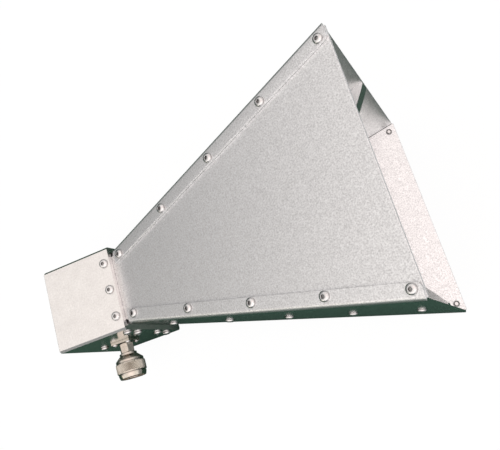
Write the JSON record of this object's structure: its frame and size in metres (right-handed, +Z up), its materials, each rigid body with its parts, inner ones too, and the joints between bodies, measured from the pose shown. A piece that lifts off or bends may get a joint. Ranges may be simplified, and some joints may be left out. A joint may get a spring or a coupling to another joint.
{
  "type": "double ridged horn antenna",
  "caption": "Double ridged horn antenna of folded sheet, with a milled feed housing and a coaxial socket whose knurled plug nut turns freely.",
  "frame": {"origin": "on the floor, below the centre of the whole horn as it lies on its side, in the middle between its two broad walls", "axes": "+X along the floor from the rear cover towards the mouth, +Y from the connector side to the plain side, +Z up; the boresight lies in the XZ plane and rises by 14.40 degrees from +X"},
  "size_m": [0.2536, 0.144, 0.1815],
  "materials": {
    "sheet": "fine textured clear conversion coat, satin, with a faint sparkle",
    "housing": "fine bead blasted, clear anodised",
    "ridges": "milled, clear coated",
    "screws": "bright stainless steel",
    "clinch_nuts": "plain stainless steel",
    "connector_metal": "turned and passivated, warm bright nickel tone",
    "white_insulator": "waxy white fluoropolymer",
    "contact_metal": "gold plated",
    "spring_wire": "spring steel",
    "gasket": "soft silicone"
  },
  "bodies": {
    "antenna": {"feed_housing": "housing", "rear_cover": "housing", "rear_cover_screws": "screws", "broad_wall_feed_side": "sheet", "broad_wall_plain_side": "sheet", "side_panel_upper": "sheet", "side_panel_lower": "sheet", "ridge_feed_side": "ridges", "ridge_plain_side": "ridges", "flange_screws_upper": "screws", "flange_screws_lower": "screws", "clinch_nuts_upper": "clinch_nuts", "clinch_nuts_lower": "clinch_nuts", "ridge_screws_feed_side": "screws", "ridge_screws_plain_side": "screws", "throat_screws_upper": "screws", "throat_screws_lower": "screws", "throat_screws_feed_side": "screws", "throat_screws_plain_side": "screws", "socket_body": "connector_metal", "socket_screws": "screws", "socket_insulator": "white_insulator", "probe_pin": "contact_metal", "adapter_hex_nut": "connector_metal", "adapter_body": "connector_metal", "adapter_insulator": "white_insulator", "adapter_contact": "contact_metal", "retaining_ring": "spring_wire", "gasket": "gasket"},
    "plug_nut": {"coupling_nut": "connector_metal"}
  },
  "joints": [
    {"name": "coupling_nut_turn", "type": "hinge", "parent": "antenna", "child": "plug_nut", "pos_m": [-0.09293, -0.0433, 0.04096], "axis": [0, -1, 0], "continuous": true}
  ]
}
